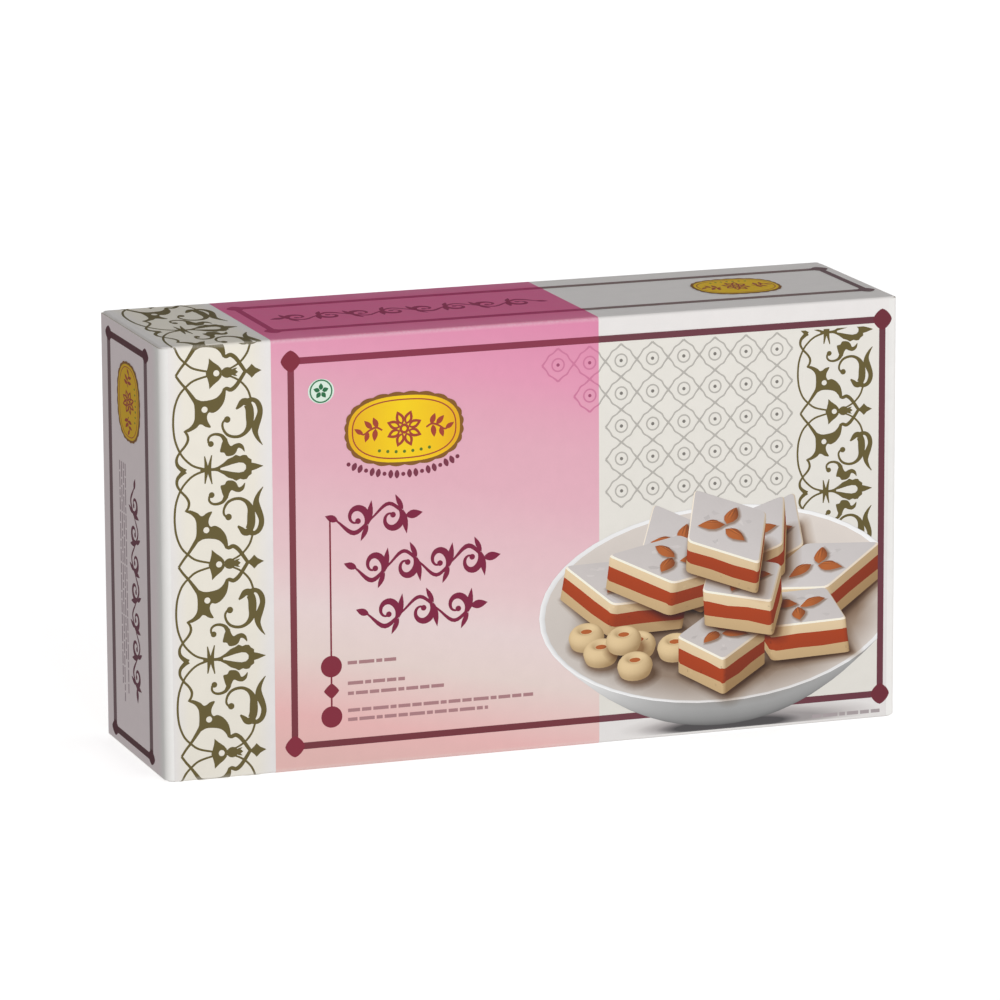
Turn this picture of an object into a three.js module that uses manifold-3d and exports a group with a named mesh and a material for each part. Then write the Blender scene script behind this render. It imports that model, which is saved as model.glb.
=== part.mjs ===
// Closed paperboard carton of sweets, standing on one of its long narrow panels.
// Millimetres, +Z up. +X runs along the long side, the front panel faces -Y, and the origin is the
// middle of the panel that the carton stands on.

import * as THREE from 'three';
import { mergeVertices } from 'three/addons/utils/BufferGeometryUtils.js';
import Module from 'manifold-3d';

// Driving dimensions: the outside of the closed carton
const LENGTH = 224;
const HEIGHT = 126;
const DEPTH = 61;

// The board, and what folding and cutting it leaves
const BOARD = 0.5;
const CREASE_R = 0.9;      // outside radius where two long panels meet
const END_FOLD_R = 2.4;    // outside radius of the softer fold from the front panel to an end panel
const TUCK_FOLD_R = 1.0;   // outside radius where an end panel turns in behind the back panel
const END_TRIM = 0.5;      // an end panel is cut this much short of the top and of the bottom
const SLIT = 1.4;          // the back panel stops this far from an end, where the tuck flap goes in
const LAP_TRIM = 1.2;      // the back panel's lower edge, lapped over the glue flap, ends this high
const ARC_STEPS = 6;       // straight steps in each quarter round

const BOARD_COLOUR = '#e6e4e1';

const wasm = await Module();
wasm.setup();

// A closed geometry as a solid that can be joined and cut
function solidOf(geometry) {
  geometry.deleteAttribute('normal');
  geometry.deleteAttribute('uv');
  const merged = mergeVertices(geometry, 1e-5);
  const mesh = new wasm.Mesh({
    numProp: 3,
    vertProperties: new Float32Array(merged.attributes.position.array),
    triVerts: new Uint32Array(merged.index.array),
  });
  return new wasm.Manifold(mesh);
}

// A solid as a geometry with flat faces
function geometryOf(solid) {
  const mesh = solid.getMesh();
  const geometry = new THREE.BufferGeometry();
  geometry.setAttribute('position', new THREE.BufferAttribute(new Float32Array(mesh.vertProperties), 3));
  geometry.setIndex(new THREE.BufferAttribute(new Uint32Array(mesh.triVerts), 1));
  return geometry;
}

// Outline from corners { x, y, r }, counter-clockwise, each with its own round of radius r
function outline(corners) {
  const shape = new THREE.Shape();
  corners.forEach((corner, i) => {
    const point = new THREE.Vector2(corner.x, corner.y);
    const before = corners[(i + corners.length - 1) % corners.length];
    const after = corners[(i + 1) % corners.length];
    const back = new THREE.Vector2(before.x, before.y).sub(point).normalize();
    const ahead = new THREE.Vector2(after.x, after.y).sub(point).normalize();
    if (corner.r === 0) {
      if (i === 0) shape.moveTo(point.x, point.y);
      else shape.lineTo(point.x, point.y);
      return;
    }
    const centre = point.clone().addScaledVector(back, corner.r).addScaledVector(ahead, corner.r);
    const from = Math.atan2(-ahead.y, -ahead.x);
    for (let step = 0; step <= ARC_STEPS; step += 1) {
      const angle = from + (step / ARC_STEPS) * (Math.PI / 2);
      const x = centre.x + corner.r * Math.cos(angle);
      const y = centre.y + corner.r * Math.sin(angle);
      if (i === 0 && step === 0) shape.moveTo(x, y);
      else shape.lineTo(x, y);
    }
  });
  shape.closePath();
  return shape;
}

// The outline drawn in the plane of the axes across and up, and carried for a length along the third
function extrude(corners, across, up, start, length) {
  const geometry = new THREE.ExtrudeGeometry(outline(corners), { depth: length, bevelEnabled: false });
  const along = across.clone().cross(up);
  geometry.applyMatrix4(new THREE.Matrix4().makeBasis(across, up, along));
  geometry.translate(along.x * start, along.y * start, along.z * start);
  return solidOf(geometry);
}

const X = new THREE.Vector3(1, 0, 0);
const Y = new THREE.Vector3(0, 1, 0);
const Z = new THREE.Vector3(0, 0, 1);

const halfLength = LENGTH / 2;
const halfDepth = DEPTH / 2;
const underBack = halfDepth - BOARD;
const dustFlapX = halfLength - BOARD;

// Front, top, back and bottom panels as one sleeve. The back panel's lower edge is a cut edge that
// laps over the glue flap, so the section steps out by one board there.
function sleeve() {
  return extrude([
    { x: -halfDepth, y: 0, r: CREASE_R },
    { x: underBack, y: 0, r: CREASE_R },
    { x: underBack, y: LAP_TRIM, r: 0 },
    { x: halfDepth, y: LAP_TRIM, r: 0 },
    { x: halfDepth, y: HEIGHT, r: CREASE_R },
    { x: -halfDepth, y: HEIGHT, r: CREASE_R },
  ], Y, Z, -halfLength, LENGTH);
}

// What the sleeve is cut back to at its ends, seen from the front: the top and bottom panels turn
// down and up there into their dust flaps.
function dustFlapFolds() {
  return extrude([
    { x: -dustFlapX, y: 0, r: CREASE_R },
    { x: dustFlapX, y: 0, r: CREASE_R },
    { x: dustFlapX, y: HEIGHT, r: CREASE_R },
    { x: -dustFlapX, y: HEIGHT, r: CREASE_R },
  ], X, Z, -halfDepth, DEPTH);
}

// What the sleeve is cut back to at its corners, seen from above: soft folds at the front, and at
// the back the slits that the tuck flaps go into.
function cornerFolds() {
  return extrude([
    { x: -dustFlapX, y: -halfDepth, r: END_FOLD_R },
    { x: dustFlapX, y: -halfDepth, r: END_FOLD_R },
    { x: dustFlapX, y: underBack, r: 0 },
    { x: halfLength - SLIT, y: underBack, r: 0 },
    { x: halfLength - SLIT, y: halfDepth, r: 0 },
    { x: SLIT - halfLength, y: halfDepth, r: 0 },
    { x: SLIT - halfLength, y: underBack, r: 0 },
    { x: -dustFlapX, y: underBack, r: 0 },
  ], X, Y, 0, HEIGHT);
}

// Both end panels with the front panel between them, one board outside the dust flaps and turned in
// behind the back panel.
function endPanels() {
  return extrude([
    { x: -halfLength, y: -halfDepth, r: END_FOLD_R },
    { x: halfLength, y: -halfDepth, r: END_FOLD_R },
    { x: halfLength, y: underBack, r: TUCK_FOLD_R },
    { x: -halfLength, y: underBack, r: TUCK_FOLD_R },
  ], X, Y, END_TRIM, HEIGHT - 2 * END_TRIM);
}

// The end panels' outline takes in the front face, whose long edges are creases, so it is cut to
// the sleeve's own rounded section there.
function frontCreases() {
  return extrude([
    { x: -halfDepth, y: 0, r: CREASE_R },
    { x: halfDepth, y: 0, r: 0 },
    { x: halfDepth, y: HEIGHT, r: 0 },
    { x: -halfDepth, y: HEIGHT, r: CREASE_R },
  ], Y, Z, -halfLength, LENGTH);
}

const panels = sleeve().intersect(dustFlapFolds()).intersect(cornerFolds());
const ends = endPanels().intersect(frontCreases());

const board = new THREE.MeshStandardMaterial({ color: BOARD_COLOUR, roughness: 0.45, metalness: 0 });
const carton = new THREE.Mesh(geometryOf(panels.add(ends)), board);
carton.name = 'carton';

const model = new THREE.Group();
model.add(carton);

export default model;
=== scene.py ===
import bmesh
import bpy
import numpy as np
from mathutils import Matrix, Vector
from mathutils.geometry import delaunay_2d_cdt


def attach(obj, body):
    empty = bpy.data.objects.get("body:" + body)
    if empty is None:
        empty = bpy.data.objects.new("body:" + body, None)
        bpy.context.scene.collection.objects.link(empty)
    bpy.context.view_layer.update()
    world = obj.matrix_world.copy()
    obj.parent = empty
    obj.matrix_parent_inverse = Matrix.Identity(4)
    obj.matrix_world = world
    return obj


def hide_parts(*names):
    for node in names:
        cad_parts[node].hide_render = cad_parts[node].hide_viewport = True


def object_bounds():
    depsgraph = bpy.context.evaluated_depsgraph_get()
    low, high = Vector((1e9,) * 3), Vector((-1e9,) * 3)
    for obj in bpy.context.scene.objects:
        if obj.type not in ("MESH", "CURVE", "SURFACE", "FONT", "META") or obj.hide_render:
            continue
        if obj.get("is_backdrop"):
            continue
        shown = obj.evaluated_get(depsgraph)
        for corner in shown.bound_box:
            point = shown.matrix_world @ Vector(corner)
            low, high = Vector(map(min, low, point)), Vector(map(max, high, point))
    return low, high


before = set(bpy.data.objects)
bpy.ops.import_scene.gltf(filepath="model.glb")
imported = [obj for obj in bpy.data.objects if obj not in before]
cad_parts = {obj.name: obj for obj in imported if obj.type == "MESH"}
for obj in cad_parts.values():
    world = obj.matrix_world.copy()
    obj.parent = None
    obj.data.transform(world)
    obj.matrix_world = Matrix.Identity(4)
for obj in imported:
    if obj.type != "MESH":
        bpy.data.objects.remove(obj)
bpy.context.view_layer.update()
scene = bpy.context.scene


# Camera: a long lens to the left of the front panel and a little above it, placed and turned as the
# carton's outline in the photograph gives it, with no shift.

CAMERA_PLACE = (-0.6171, -1.7666, 0.4745)                            # metres
CAMERA_TURN, CAMERA_DOWN, CAMERA_ROLL = -19.2398, 12.2669, -0.2927   # degrees

camera_data = bpy.data.cameras.new("camera")
camera_data.sensor_width = 36.0
camera_data.lens = 236.26
camera_data.clip_end = 60.0
camera = bpy.data.objects.new("camera", camera_data)
camera.matrix_world = (
    Matrix.Translation(CAMERA_PLACE)
    @ Matrix.Rotation(np.radians(CAMERA_TURN), 4, "Z")
    @ Matrix.Rotation(np.radians(90.0 - CAMERA_DOWN), 4, "X")
    @ Matrix.Rotation(np.radians(CAMERA_ROLL), 4, "Z")
)
scene.collection.objects.link(camera)
scene.camera = camera
scene.view_settings.view_transform = "Standard"


# Sleeve: the front, top, back and bottom panels of folding boxboard, creased and glued into a tube.
# The board is white clay-coated stock 0.5 mm thick, with soft rounds at its creases. The back panel's
# lower edge laps over the glue flap, and its ends stop short where the tuck flaps go in.

MM = 0.001
LENGTH, HEIGHT, DEPTH = 224.0, 126.0, 61.0    # millimetres, as every size of the carton is
BOARD_WHITE = "#f2eeec"
BOARD = 0.5
CREASE_R = 0.9
CREASE_STEPS = 6
CREASE_LOOP = 0.6          # loops this far past each round keep the shading of the panels flat
END_FOLD_R = 2.4
DUST_FOLD_X = LENGTH / 2 - BOARD
END_FOLD_X = DUST_FOLD_X - END_FOLD_R
SLIT_X = LENGTH / 2 - 1.4  # the back panel ends here
SLIT_DEPTH = 1.1           # and past its end the sleeve is this much shallower
LAP_TRIM = 1.2             # height of the back panel's lower edge
BOW = 0.25                 # the filled carton's front and back stand this far out in the middle
RUBBED = 1.4               # the printed board is rubbed paler this far from each crease
PAINTED_FOOT_SHADE = 0.09           # share of painted shade by which the board's tone falls towards the carton's foot
FOOT_RISE = 100.0          # height from which it falls
GRID = 16.0                # the panels and the printed films on them are cut on the same lines

# Girth: the distance s round the carton, 0 on the front bottom edge, then up the front, over the top
# and down the back to BACK_FOOT; below 0 it runs under the carton and up to the lap.
EDGES = np.array([-DEPTH, 0.0, HEIGHT, HEIGHT + DEPTH])
BACK_FOOT = 2 * HEIGHT + DEPTH
LAP_START, LAP_END = -DEPTH - LAP_TRIM, BACK_FOOT - LAP_TRIM
GIRTH_STOPS = np.concatenate([[LAP_START], (EDGES[:, None] + [-CREASE_R, CREASE_R]).ravel(), [LAP_END]])
FACING = np.radians([0, 0, -90, -90, -180, -180, -270, -270, -360, -360])
INSET_Y, INSET_Z = DEPTH / 2 - CREASE_R, HEIGHT - CREASE_R
CENTRE_Y = np.array([INSET_Y - BOARD] * 3 + [-INSET_Y] * 4 + [INSET_Y] * 3)
CENTRE_Z = np.array([LAP_TRIM] + [CREASE_R] * 4 + [INSET_Z] * 4 + [LAP_TRIM])


def sleeve_point(u, s, lift, fold_x=END_FOLD_X):
    """Points of the sleeve in millimetres, from the distance u from its left end and the girth s.

    The section is a centre that runs along each panel and waits in each corner, plus one crease
    radius in the direction that the surface faces, and lift adds to that radius. The front and back
    bow out by a product of two parabolas. Near the ends the top and bottom sink along the quarter
    round of the dust flap crease, and the front along that of the end fold.
    """
    x = np.asarray(u, float) - LENGTH / 2
    facing = np.interp(s, GIRTH_STOPS, FACING)
    y = np.interp(s, GIRTH_STOPS, CENTRE_Y) + (CREASE_R + lift) * np.cos(facing)
    z = np.interp(s, GIRTH_STOPS, CENTRE_Z) + (CREASE_R + lift) * np.sin(facing)
    across = np.clip(1 - (x / END_FOLD_X) ** 2, 0, 1)
    upright = np.clip(1 - ((z - HEIGHT / 2) / (HEIGHT / 2 - CREASE_R)) ** 2, 0, 1)
    y = y + BOW * across * upright * np.cos(facing) ** 3
    over = np.clip(np.abs(x) - (DUST_FOLD_X - CREASE_R), 0, CREASE_R)
    sink = CREASE_R - np.sqrt(CREASE_R ** 2 - over ** 2)
    z = HEIGHT / 2 + (z - HEIGHT / 2) * (1 - sink / (HEIGHT / 2))
    over = np.clip(np.abs(x) - fold_x, 0, END_FOLD_R)
    sink = END_FOLD_R - np.sqrt(END_FOLD_R ** 2 - over ** 2)
    y = y + sink * (DEPTH / 2 - y) / DEPTH
    return np.stack(np.broadcast_arrays(x, y, z), -1)


def to_linear(hex_colour):
    """Linear red, green, blue and a full alpha from an sRGB hex colour."""
    srgb = np.array([int(hex_colour[i:i + 2], 16) for i in (1, 3, 5)]) / 255
    linear = np.where(srgb <= 0.04045, srgb / 12.92, ((srgb + 0.055) / 1.055) ** 2.4)
    return (*linear.tolist(), 1.0)


def add_node(tree, kind, settings, inputs):
    """Adds one node: settings are its properties, inputs are values or the sockets that feed it."""
    node = tree.nodes.new(kind)
    for name, value in settings.items():
        setattr(node, name, value)
    for socket, value in inputs.items():
        if isinstance(value, bpy.types.NodeSocket):
            tree.links.new(value, node.inputs[socket])
        else:
            node.inputs[socket].default_value = value
    return node


def paper_finish(name, colour, slope=(0, 0, 0), interpolation="LINEAR", foot=0.0,
                 roughness=0.52, mottle=1.0, wear=0.3):
    """Printed and varnished board in one colour, or in a ramp of (place in mm, colour) along a slope.

    With no colour it takes the tones stored at the corners of the film's faces.

    Offset ink under a satin water-based varnish: even colour with a faint mottle about 4 mm and
    0.6 mm wide, a broad soft gloss that wavers with the fibres, and paler rubbed creases. The wear is
    the sum of the products of how near a point is to the ends of two axes, so it is on edges only.
    The tone falls evenly by the share foot, from FOOT_RISE down to the foot of the carton, as painted
    shade where less light reaches.
    """
    material = bpy.data.materials.new(name)
    material.use_nodes = True
    tree = material.node_tree
    shader = tree.nodes["Principled BSDF"]

    def math(operation, *values, clamp=False):
        settings = {"operation": operation, "use_clamp": clamp}
        return add_node(tree, "ShaderNodeMath", settings, dict(enumerate(values))).outputs[0]

    def noise(width, detail):
        inputs = {"Vector": place, "Scale": 1 / (width * MM), "Detail": detail}
        return add_node(tree, "ShaderNodeTexNoise", {}, inputs).outputs[0]

    place = add_node(tree, "ShaderNodeTexCoord", {}, {}).outputs["Object"]
    axes = add_node(tree, "ShaderNodeSeparateXYZ", {}, {0: place}).outputs
    cloud, grain, fibre = noise(4.0, 1.0), noise(0.6, 1.0), noise(1.5, 2.0)

    if colour is None:
        ink = add_node(tree, "ShaderNodeAttribute", {"attribute_name": "tone"}, {}).outputs["Color"]
    elif isinstance(colour, str):
        ink = to_linear(colour)
    else:
        along = 0.0
        for axis, factor in zip(axes, slope):
            if factor:
                along = math("MULTIPLY_ADD", axis, factor / MM, along)
        low, high = colour[0][0], colour[-1][0]
        along = add_node(tree, "ShaderNodeMapRange", {}, {0: along, 1: low, 2: high}).outputs[0]
        ramp = add_node(tree, "ShaderNodeValToRGB", {}, {0: along})
        ramp.color_ramp.interpolation = interpolation
        for at, _ in colour[1:-1]:
            ramp.color_ramp.elements.new((at - low) / (high - low))
        for element, (_, shade) in zip(ramp.color_ramp.elements, colour):
            element.color = to_linear(shade)
        ink = ramp.outputs[0]

    level = math("MULTIPLY_ADD", cloud, 0.05 * mottle, 1 - 0.04 * mottle)
    level = math("MULTIPLY_ADD", grain, 0.03 * mottle, level)
    if foot:
        rise = {0: axes[2], 1: 0.0, 2: FOOT_RISE * MM, 3: 1 - foot, 4: 1.0}
        level = math("MULTIPLY", level, add_node(tree, "ShaderNodeMapRange", {}, rise).outputs[0])
    toned = add_node(tree, "ShaderNodeHueSaturation", {}, {"Value": level, "Color": ink}).outputs[0]

    ends = []
    for axis, middle, half in zip(axes, (0, 0, HEIGHT / 2), (LENGTH / 2, DEPTH / 2, HEIGHT / 2)):
        away = math("ABSOLUTE", math("SUBTRACT", axis, middle * MM))
        ends.append(math("MULTIPLY_ADD", away, 1 / (RUBBED * MM), 1 - half / RUBBED, clamp=True))
    edge = math("MULTIPLY", ends[0], ends[1])
    edge = math("MULTIPLY_ADD", ends[1], ends[2], edge)
    edge = math("MULTIPLY_ADD", ends[2], ends[0], edge, clamp=True)
    rubbed = math("MULTIPLY", edge, math("MULTIPLY", grain, 2 * wear))
    paler = {0: rubbed, 6: toned, 7: to_linear("#f4f1ec")}
    worn = add_node(tree, "ShaderNodeMix", {"data_type": "RGBA"}, paler).outputs[2]
    tree.links.new(worn, shader.inputs["Base Color"])

    gloss = math("MULTIPLY_ADD", cloud, 0.10, roughness - 0.09)
    tree.links.new(math("MULTIPLY_ADD", grain, 0.08, gloss), shader.inputs["Roughness"])
    inputs = {"Strength": 0.6, "Distance": 0.012 * MM, "Height": fibre}
    relief = add_node(tree, "ShaderNodeBump", {}, inputs).outputs[0]
    tree.links.new(relief, shader.inputs["Normal"])
    shader.inputs["IOR"].default_value = 1.5
    shader.inputs["Specular IOR Level"].default_value = 0.3
    return material


def add_piece(name, points, faces, material, sharp=32.0):
    """Mesh piece at the origin, from points in millimetres and faces.

    Edges that turn by more than the angle sharp, in degrees, stay hard.
    """
    mesh = bpy.data.meshes.new(name)
    mesh.from_pydata((np.asarray(points) * MM).tolist(), [], np.asarray(faces).tolist())
    mesh.shade_smooth()
    mesh.set_sharp_from_angle(angle=np.radians(sharp))
    mesh.materials.append(material)
    piece = bpy.data.objects.new(name, mesh)
    scene.collection.objects.link(piece)
    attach(piece, "root")
    return piece


def tube_faces(rings, around):
    """Quads of a closed tube: sides between rings in order, and caps that pair opposite ring points."""
    i, j = np.meshgrid(np.arange(rings - 1), np.arange(around), indexing="ij")
    k = (j + 1) % around
    sides = np.stack([i * around + j, (i + 1) * around + j, (i + 1) * around + k, i * around + k], -1)
    n = np.arange(around // 2 - 1)
    cap = np.stack([n, n + 1, around - 2 - n, around - 1 - n], -1)
    far = cap[:, ::-1] + (rings - 1) * around
    return np.concatenate([sides.reshape(-1, 4), cap, far])


crease_offsets = np.concatenate([
    [-CREASE_R - CREASE_LOOP],
    np.linspace(-CREASE_R, CREASE_R, CREASE_STEPS + 1),
    [CREASE_R + CREASE_LOOP],
])
CREASE_LINES = (EDGES[:, None] + crease_offsets).ravel()
front_lines = np.arange(GRID, HEIGHT - 2, GRID)
middle_lines = [-DEPTH / 2, HEIGHT + DEPTH / 2]
GIRTH_LINES = np.sort(np.concatenate([
    CREASE_LINES, front_lines, BACK_FOOT - front_lines, middle_lines]))
GIRTH_LINES = GIRTH_LINES[(GIRTH_LINES > LAP_START) & (GIRTH_LINES < LAP_END)]
LENGTH_LINES = np.arange(GRID, LENGTH, GRID)

girths = np.concatenate([[LAP_START], GIRTH_LINES, [LAP_END]])
before_slit = np.array([107.5, END_FOLD_X, 109.6, 110.1, SLIT_X])
past_slit = np.array([SLIT_X, 110.9, 111.15, 111.35, 111.46, DUST_FOLD_X])
stations = np.concatenate([
    -past_slit[::-1], -before_slit[::-1], LENGTH_LINES - LENGTH / 2, before_slit, past_slit])
sleeve_rows = sleeve_point(stations[:, None] + LENGTH / 2, girths[None, :], 0.0)
for end in (slice(0, len(past_slit)), slice(-len(past_slit), None)):
    sleeve_rows[end, :, 1] = np.minimum(sleeve_rows[end, :, 1], DEPTH / 2 - SLIT_DEPTH)
# The board's colour takes a painted shade that darkens it towards the foot
boxboard = paper_finish("clay_coated_folding_boxboard", BOARD_WHITE, foot=PAINTED_FOOT_SHADE)
sleeve_faces = tube_faces(len(stations), len(girths))
sleeve = add_piece("sleeve_panels", sleeve_rows.reshape(-1, 3), sleeve_faces, boxboard)
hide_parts("carton")


# End panels: one flap at each end of the front panel, folded back round a softer fold and tucked in
# behind the back panel. They are cut half a millimetre short of the top and bottom, so the grey
# fibres of the board's cut edge show beside the dust flap creases.

END_TRIM = 0.5
TUCK_R = 1.0
TUCK_Y = DEPTH / 2 - BOARD
FOLD_X, FOLD_Y = LENGTH / 2 - END_FOLD_R, -DEPTH / 2 + END_FOLD_R


def end_section(offset):
    """Plan of a right end panel from the front to the tuck, offset inwards from its outer face."""
    turn = np.radians(np.linspace(-90, 0, 9))
    round_off = (END_FOLD_R - offset) * np.stack([np.cos(turn), np.sin(turn)], -1)
    fold = np.array([FOLD_X, FOLD_Y]) + round_off
    turn = np.radians(np.linspace(0, 90, 6))
    round_off = (TUCK_R - offset) * np.stack([np.cos(turn), np.sin(turn)], -1)
    tuck = np.array([LENGTH / 2 - TUCK_R, TUCK_Y - TUCK_R]) + round_off
    front = [[END_FOLD_X, -DEPTH / 2 + offset]]
    straight = [[LENGTH / 2 - offset, y] for y in (-27.3, -14.0, 0.0, 14.0, 28.2)]
    inside = [[SLIT_X - 1.2, TUCK_Y - offset]]
    return np.concatenate([front, fold, straight, tuck, inside])


outer, inner = end_section(0.0), end_section(BOARD)
section = np.concatenate([outer, inner[::-1]])
levels = np.array([END_TRIM, 0.7, CREASE_R, CREASE_R + CREASE_LOOP, 32.0, 63.0, 94.0,
                   HEIGHT - CREASE_R - CREASE_LOOP, HEIGHT - CREASE_R, HEIGHT - 0.7, HEIGHT - END_TRIM])
past_crease = np.clip(np.abs(levels - HEIGHT / 2) - (HEIGHT / 2 - CREASE_R), 0, CREASE_R)
crease_sink = CREASE_R - np.sqrt(CREASE_R ** 2 - past_crease ** 2)
# The end board turns paler and more neutral towards the front fold: a painted highlight of the fold.
end_board_with_fold_highlight = paper_finish("boxboard_end_with_painted_fold_highlight", [
    (-30.5, "#f4f2ef"), (-27.8, "#f1efeb"), (-25.0, "#eee6e5"), (-22.0, "#eee1e2"), (30.5, "#ede0e1")],
    slope=(0, 1, 0))
cut_edge = paper_finish("cut_boxboard_fibre_edge", "#cfc8be", roughness=0.85, mottle=2.5, wear=0.0)
for name, side in (("end_panel_right", 1), ("end_panel_left", -1)):
    x, y = side * section[:, 0], section[:, 1]
    rows = np.stack(np.broadcast_arrays(
        x, y + crease_sink[:, None] * (DEPTH / 2 - y) / DEPTH, levels[:, None]), -1)
    faces = tube_faces(len(levels), len(section))
    if side > 0:
        faces = faces[:, ::-1]
    panel = add_piece(name, rows.reshape(-1, 3), faces, end_board_with_fold_highlight)
    panel.data.materials.append(cut_edge)
    caps = len(section) // 2 - 1
    slots = np.zeros(len(faces), np.int32)
    slots[-2 * caps:] = 1
    panel.data.polygons.foreach_set("material_index", slots)
    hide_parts("carton")


# Colour fields: a pale cream tint, and the wide pink band round the carton, magenta on the top panel.
# Every ink is a film on the board, drawn flat, cut on the panel lines and folded with the board.

INK = 0.03                 # each film starts this much further out than the one it overprints
INK_GAP = 0.2              # the share of that step that stays open under it


def partition(shapes):
    """What shows of flat shapes drawn one over another: {ink: (points, triangles)}.

    Shapes are (ink, outline), the first at the bottom, and a shape whose ink is None knocks out what
    is under it. The plane is triangulated so that each triangle lies in the same shapes all over.
    """
    outlines = [np.asarray(outline, float) for _, outline in shapes]
    sizes = np.array([len(outline) for outline in outlines])
    starts = np.concatenate([[0], np.cumsum(sizes)[:-1]])
    faces = [list(range(a, a + n)) for a, n in zip(starts.tolist(), sizes.tolist())]
    points, _, triangles, _, _, origins = delaunay_2d_cdt(
        [Vector(p) for p in np.concatenate(outlines).tolist()], [], faces, 1, 1e-4, True)
    points, triangles = np.array([p[:] for p in points]), np.array(triangles)
    top = np.array([max(origin) if origin else -1 for origin in origins])
    corner = points[triangles]
    edge_a, edge_b = corner[:, 1] - corner[:, 0], corner[:, 2] - corner[:, 0]
    solid = edge_a[:, 0] * edge_b[:, 1] - edge_a[:, 1] * edge_b[:, 0] > 1e-6
    inks = [shapes[i][0] if i >= 0 else None for i in top.tolist()]
    shown = {}
    for ink in dict.fromkeys(inks):
        if ink is not None:
            shown[ink] = weld(points, triangles[np.array([other == ink for other in inks]) & solid])
    return shown


def union(outlines):
    """What shows of flat outlines that are all in one ink, as (points, triangles)."""
    return partition([("ink", outline) for outline in outlines])["ink"]


def weld(points, triangles):
    """The same triangles with equal points made one, and no loose points or empty triangles."""
    used, triangles = np.unique(triangles, return_inverse=True)
    _, first, same = np.unique(points[used].round(3), axis=0, return_index=True, return_inverse=True)
    triangles = same.ravel()[triangles.reshape(-1, 3)]
    open_ones = (triangles != np.roll(triangles, 1, axis=1)).all(1)
    return points[used][first], triangles[open_ones]


def trim(flat, left=0.0, right=LENGTH, low=LAP_START, high=LAP_END, grid=True):
    """A flat drawing cut to a rectangle, and divided along the lines where the board is divided."""
    points, triangles = flat
    sheet = bmesh.new()
    mesh = bpy.data.meshes.new("trim")
    mesh.from_pydata(np.pad(points, ((0, 0), (0, 1))).tolist(), [], triangles.tolist())
    sheet.from_mesh(mesh)
    cuts = [(0, left, -1), (0, right, 1), (1, low, -1), (1, high, 1)]
    if grid:
        cuts += [(0, at, 0) for at in LENGTH_LINES] + [(1, at, 0) for at in GIRTH_LINES]
    reach = points.min(0), points.max(0)
    for axis, at, outside in cuts:
        if outside or reach[0][axis] < at < reach[1][axis]:
            normal = np.eye(3)[axis] * (outside or 1)
            bmesh.ops.bisect_plane(
                sheet, geom=sheet.verts[:] + sheet.edges[:] + sheet.faces[:], dist=1e-4,
                plane_co=np.eye(3)[axis] * at, plane_no=normal, clear_outer=bool(outside))
    bmesh.ops.triangulate(sheet, faces=sheet.faces[:])
    sheet.to_mesh(mesh)
    sheet.free()
    points = np.empty(len(mesh.vertices) * 3)
    mesh.vertices.foreach_get("co", points)
    triangles = np.empty(len(mesh.loops), np.int32)
    mesh.loops.foreach_get("vertex_index", triangles)
    bpy.data.meshes.remove(mesh)
    return weld(points.reshape(-1, 3)[:, :2], triangles.reshape(-1, 3))


def printed_point(u, s, lift):
    """A point of the print: the sleeve's, but out on the end panels' folds at the front's two ends."""
    return sleeve_point(u, s, lift, FOLD_X)


def add_film(name, flat, layer, material, fold=printed_point, tones=None):
    """A printed film as a closed thin solid: the drawing at two heights over the board, and its rim.

    Tones, where a drawing has them, are linear colours for the three corners of each triangle.
    """
    points, triangles = flat
    count = len(points)
    halves = triangles[:, [0, 1, 1, 2, 2, 0]].reshape(-1, 2)
    open_half = ~np.isin(halves @ [count, 1], halves @ [1, count])
    i, j = halves[open_half].T
    rim = np.stack([i, i + count, j + count, j], -1)
    rim = np.concatenate([rim[:, [0, 1, 2]], rim[:, [0, 2, 3]]])
    top = fold(points[:, 0], points[:, 1], (layer + 1) * INK)
    bottom = fold(points[:, 0], points[:, 1], (layer + INK_GAP) * INK)
    faces = np.concatenate([triangles, triangles[:, ::-1] + count, rim])
    film = add_piece(name, np.concatenate([top, bottom]), faces, material)
    if tones is not None:
        rim_tones = np.tile(tones[np.flatnonzero(open_half) // 3].mean(1, keepdims=True), (2, 3, 1))
        corners = np.concatenate([tones, tones[:, ::-1], rim_tones]).reshape(-1, 3)
        corners = np.pad(corners, ((0, 0), (0, 1)), constant_values=1.0)
        attribute = film.data.attributes.new("tone", "FLOAT_COLOR", "CORNER")
        attribute.data.foreach_set("color", corners.ravel())
    return film


def rectangle(left, right, low, high):
    """Outline of an upright rectangle."""
    return np.array([[left, low], [right, low], [right, high], [left, high]])


STRIP_LEFT, STRIP_RIGHT = 2.4, 31.4
FIELD_LEFT, FIELD_RIGHT = 32.6, 131.0
FRAME_LEFT, FRAME_RIGHT, FRAME_LOW, FRAME_HIGH = 38.4, 219.0, 7.3, 119.5
SHADOW_HIGH = 24.0         # below this the front's tint is drawn with the shadow of the pictured dish
CREAM_TINT = "#efebe3"
# The cream tints take the same painted shade towards the foot
strip_tint = paper_finish("cream_tint_strip", [
    (-109.6, BOARD_WHITE), (-105.0, "#f5efe2"), (-85.0, "#f5efe2"), (-80.6, BOARD_WHITE)],
    slope=(1, 0, 0), foot=PAINTED_FOOT_SHADE)
panel_tint = paper_finish("cream_tint_panel", CREAM_TINT, foot=PAINTED_FOOT_SHADE)
for name, finish, left, right, low, high in (
        ("cream_tint_strip", strip_tint, STRIP_LEFT, STRIP_RIGHT, LAP_START, LAP_END),
        ("cream_tint_panel_front", panel_tint, FIELD_RIGHT, FRAME_RIGHT, SHADOW_HIGH, FRAME_HIGH),
        ("cream_tint_panel_back", panel_tint, FIELD_RIGHT, FRAME_RIGHT,
         BACK_FOOT - FRAME_HIGH, BACK_FOOT - FRAME_LOW)):
    add_film(name, trim(union([rectangle(left, right, low, high)])), 0, finish)
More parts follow.
